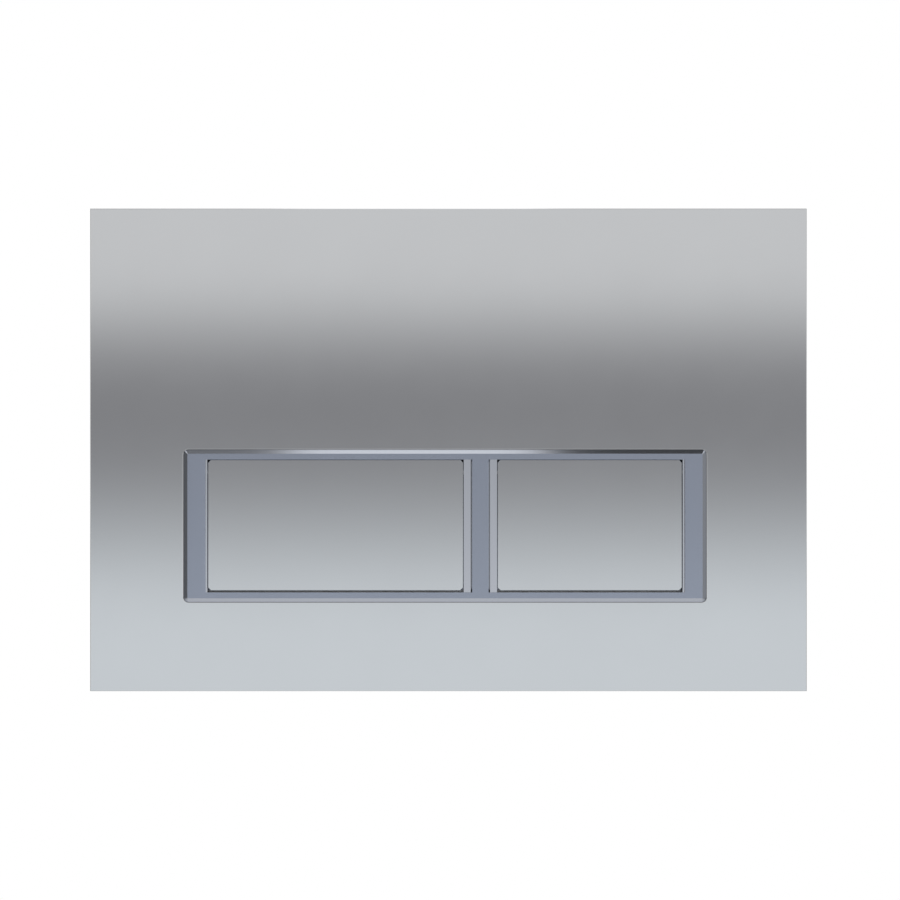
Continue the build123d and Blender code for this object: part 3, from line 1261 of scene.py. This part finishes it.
    def build_screw(self) -> bpy.types.Object:
        """Builds a slotted head, a shoulder and a threaded end along Z.

        Returns:
            The screw.
        """
        low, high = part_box("fixing_screws")
        head_radius = (high.z - low.z) / 2
        nut_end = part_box("clamp_nuts")[1].y
        head = cylinder(head_radius, low.y, low.y + self.head)
        bevel_rims(head, self.head_bevel, EdgeCut.ROUND)
        slot_size = (self.slot_reach_share * head_radius, self.slot_width, 2 * self.slot_depth)
        carve(head, block(slot_size, low.y), Carving.OUTSIDE)
        shoulder = cylinder(self.shoulder_radius, low.y + self.head / 2, nut_end + self.shoulder_overrun)
        bevel_rims(shoulder, self.shoulder_bevel, EdgeCut.CHAMFER)
        bar = ThreadedBar(self.thread_radius, nut_end, high.y, self.pitch).build()
        return join([head, shoulder, bar], "fixing_screw")

    def build_nut(self) -> bpy.types.Object:
        """Builds a clamp nut along Z.

        Returns:
            The nut.
        """
        low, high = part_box("clamp_nuts")
        nut = HexNut(high.z - low.z, high.y - low.y, self.shoulder_radius).build()
        nut.location.z = low.y
        apply_place(nut)
        return nut


@dataclass(frozen=True)
class Card:
    """A card that only reflections see, hung round the plate and facing it."""

    name: str
    azimuth: float
    elevation: float
    distance: float
    size: tuple[float, float]
    colour: Colour

    def place(self) -> Vector:
        """Works out the card's centre from its angles and its distance.

        Returns:
            The centre.
        """
        across, up = math.radians(self.azimuth), math.radians(self.elevation)
        level = math.cos(up)
        return self.distance * Vector((math.sin(across) * level, -math.cos(across) * level, math.sin(up)))

    def hang(self) -> None:
        """Hangs the card and paints it."""
        place = self.place()
        select_none()
        bpy.ops.mesh.primitive_plane_add(size=1.0)
        card = bpy.context.active_object
        card.name = self.name
        card.scale = (self.size[0], self.size[1], 1.0)
        card.rotation_euler = (-place).to_track_quat("Z", "Y").to_euler()
        card.location = place
        apply_place(card)
        for ray in ("camera", "diffuse", "transmission", "shadow", "volume_scatter"):
            setattr(card, f"visible_{ray}", False)
        material, bench = new_material(self.name)
        glow = bench.add("ShaderNodeEmission", inputs={"Color": self.paint(bench), "Strength": 1.0})
        bench.add("ShaderNodeOutputMaterial", inputs={"Surface": glow.outputs[0]})
        card.data.materials.append(material)

    def paint(self, bench: Bench) -> Colour | bpy.types.NodeSocket:
        """Returns the card's colour."""
        return self.colour


@dataclass(frozen=True)
class BandCard(Card):
    """The card behind the camera: a soft dark band between two pale fields, shaded at its left end."""

    upper_colour: Colour = (0.672, 0.676, 0.680, 1.0)
    lower_colour: Colour = (0.700, 0.735, 0.760, 1.0)
    band_z: float = 30.4 * MM
    upper_z: float = 128.0 * MM
    lower_z: float = -127.0 * MM
    power: float = 1.37
    shade: float = 0.55
    shade_x: tuple[float, float] = (-370.0 * MM, -290.0 * MM)

    def paint(self, bench: Bench) -> bpy.types.NodeSocket:
        """Works out the band's colour by height, with its shaded left end.

        Args:
            bench: The material's bench.

        Returns:
            The colour.
        """
        height = bench.along("Z")
        reach = self.upper_z - self.lower_z
        pale = bench.value(
            "ShaderNodeValToRGB",
            {"stops": [(0.0, WHITE), ((self.band_z - self.lower_z) / reach, BLACK), (1.0, WHITE)]},
            {0: (height - self.lower_z) * (1.0 / reach)},
        )
        field_colour = bench.colour_mix(height.over(self.band_z), self.lower_colour, self.upper_colour)
        banded = bench.colour_mix(pale**self.power, self.colour, field_colour)
        lit = bench.along("X").eased(*self.shade_x)
        return bench.colour_mix(self.shade * (1.0 - lit), banded, BLACK)


@dataclass(frozen=True)
class WingCard(BandCard):
    """A paler card beside the band card, brighter towards its lower edge and without shade."""

    upper_colour: Colour = grey(0.80)
    lower_colour: Colour = grey(0.94)
    shade: float = 0.0


@dataclass(frozen=True)
class StripCard(Card):
    """An overhead card with a bright strip from front to back, and darker on the right of it."""

    right_colour: Colour = grey(0.1)
    strip_colour: Colour = grey(1.2)
    strip_x: float = -20.0 * MM
    strip_half: float = 76.0 * MM
    strip_blur: float = 14.0 * MM

    def paint(self, bench: Bench) -> bpy.types.NodeSocket:
        """Works out the strip's colour.

        Args:
            bench: The material's bench.

        Returns:
            The colour.
        """
        across = bench.along("X") - self.strip_x
        field_colour = bench.colour_mix(across.over(0.0), self.colour, self.right_colour)
        outside = abs(across).eased(self.strip_half - self.strip_blur, self.strip_half + self.strip_blur)
        return bench.colour_mix(outside, self.strip_colour, field_colour)


@dataclass(frozen=True)
class FloorCard(Card):
    """A card just above the floor, with rings round the plate that darken and then pale again.

    Each ring is a distance from the frame's origin and a grey level.
    """

    rings: tuple[tuple[float, float], ...] = (
        (0.24, 0.85),
        (0.34, 0.62),
        (0.55, 0.42),
        (0.85, 0.24),
        (1.4, 0.45),
    )
    reach: float = 2.2

    def paint(self, bench: Bench) -> bpy.types.NodeSocket:
        """Works out the rings' colour.

        Args:
            bench: The material's bench.

        Returns:
            The colour.
        """
        stops = [(distance / self.reach, grey(level)) for distance, level in self.rings]
        stops.append((1.0, self.colour))
        inputs = {0: bench.away() * (1.0 / self.reach)}
        return bench.add("ShaderNodeValToRGB", {"stops": stops}, inputs).outputs[0]


@dataclass(frozen=True)
class Lamp:
    """A soft round lamp that points at the plate."""

    name: str
    place: tuple[float, float, float]
    size: float
    watts: float

    def hang(self) -> None:
        """Hangs the lamp."""
        data = bpy.data.lights.new(self.name, "AREA")
        data.shape = "DISK"
        data.size = self.size
        data.energy = self.watts
        lamp = placed(self.name, data)
        lamp.location = self.place
        lamp.rotation_euler = (-Vector(self.place)).to_track_quat("-Z", "Y").to_euler()


# Name, angles to the right and upwards in degrees, distance and size in metres, colour
CARDS = (
    BandCard("band_card", 0.0, 0.0, 1.612, (1.24, 1.5), (0.252, 0.253, 0.262, 1.0)),
    WingCard("left_wing", -31.0, 0.0, 1.5, (0.56, 1.4), grey(0.67)),
    WingCard("right_wing", 36.0, 0.0, 1.5, (0.75, 1.4), grey(0.68)),
    Card("left_screen", -48.0, 0.0, 1.5, (0.40, 1.4), grey(0.42)),
    Card("left_flag", -88.0, 0.0, 1.1, (1.9, 1.6), grey(0.18)),
    Card("right_flag", 88.0, 0.0, 1.1, (1.9, 1.6), grey(0.42)),
    Card("top_card", 0.0, 42.0, 1.2, (1.6, 0.7), grey(0.55)),
    StripCard("ceiling", 0.0, 90.0, 1.1, (1.6, 1.6), grey(0.28)),
    Card("rear_card", 180.0, 25.0, 1.8, (4.0, 1.3), grey(0.62)),
    FloorCard("floor_card", 0.0, -90.0, 0.24, (4.8, 4.8), grey(0.75)),
)
# Name, place and size in metres, power in watts
LAMPS = (
    Lamp("front_lamp", (-0.7, -1.1, 1.2), 0.9, 9.0),
    Lamp("rear_lamp", (0.9, 1.3, 1.1), 0.9, 9.0),
)


@dataclass
class Studio:
    """Camera, floor, world, lamps and the cards that the plating reflects."""

    photo_px: float = 900.0
    px_per_metre: float = 2925.0
    plate_centre_px: tuple[float, float] = (448.5, 449.9)
    camera_distance: float = 1.5
    sensor: float = 36.0
    floor_z: float = -0.25
    floor_size: float = 12.0
    floor_fade: tuple[float, float] = (0.45, 0.85)
    floor_colour: Colour = grey(0.86)
    ambient: float = 0.62

    def build(self) -> None:
        """Sets up the studio."""
        bpy.context.scene.view_settings.view_transform = "Standard"
        self.place_camera()
        self.lay_floor()
        for fitting in (*CARDS, *LAMPS):
            fitting.hang()
        self.paint_world()

    def place_camera(self) -> None:
        """Sets the camera straight in front of the plate, at the photograph's scale."""
        data = bpy.data.cameras.new("front_camera")
        data.sensor_width = self.sensor
        data.lens = self.sensor * self.camera_distance * self.px_per_metre / self.photo_px
        camera = placed("front_camera", data)
        half = self.photo_px / 2
        camera.location = (
            (half - self.plate_centre_px[0]) / self.px_per_metre,
            front_of("face_plate") - self.camera_distance,
            (self.plate_centre_px[1] - half) / self.px_per_metre,
        )
        camera.rotation_euler = (math.pi / 2, 0.0, 0.0)
        bpy.context.scene.camera = camera

    @staticmethod
    def seen_direct(bench: Bench) -> Value:
        """Works out where the camera sees a surface itself, in metal or through glass.

        Args:
            bench: The bench of the floor's or the world's nodes.

        Returns:
            1 where it is seen and 0 elsewhere.
        """
        path = bench.add("ShaderNodeLightPath")
        camera, metal, glass = (
            Value(bench, path.outputs[f"Is {ray} Ray"]) for ray in ("Camera", "Glossy", "Transmission")
        )
        return camera | metal | glass

    def lay_floor(self) -> None:
        """Lays a pale floor that keeps the shadow near the plate and turns white further out."""
        select_none()
        bpy.ops.mesh.primitive_plane_add(size=self.floor_size, location=(0, 0, self.floor_z))
        floor = bpy.context.active_object
        floor.name = "studio_floor"
        apply_place(floor)
        material, bench = new_material("pale_floor")
        fade = bench.away().eased(*self.floor_fade)
        pale = bench.add("ShaderNodeBsdfDiffuse", inputs={"Color": self.floor_colour})
        white = bench.add("ShaderNodeEmission", inputs={"Color": WHITE, "Strength": 1.0})
        mixed = bench.add(
            "ShaderNodeMixShader",
            inputs={0: self.seen_direct(bench) * fade, 1: pale.outputs[0], 2: white.outputs[0]},
        )
        bench.add("ShaderNodeOutputMaterial", inputs={"Surface": mixed.outputs[0]})
        floor.data.materials.append(material)

    def paint_world(self) -> None:
        """Paints the world white where it is seen, and softer where it lights."""
        world = bpy.data.worlds.new("white_studio")
        world.use_nodes = True
        bpy.context.scene.world = world
        bench = Bench(world.node_tree)
        strength = self.ambient + self.seen_direct(bench) * (1.0 - self.ambient)
        back = bench.add("ShaderNodeBackground", inputs={"Color": WHITE, "Strength": strength})
        bench.add("ShaderNodeOutputWorld", inputs={"Surface": back.outputs[0]})


def main() -> None:
    """Builds every sub-assembly and the studio."""
    logging.basicConfig(level=logging.INFO, format="%(name)s: %(message)s")
    PlateShells().build()
    for side in Side:
        FlushButton(side).build()
    PushRodSets().build()
    MountingSet().build()
    Studio().build()


if __name__ == "__main__":
    main()
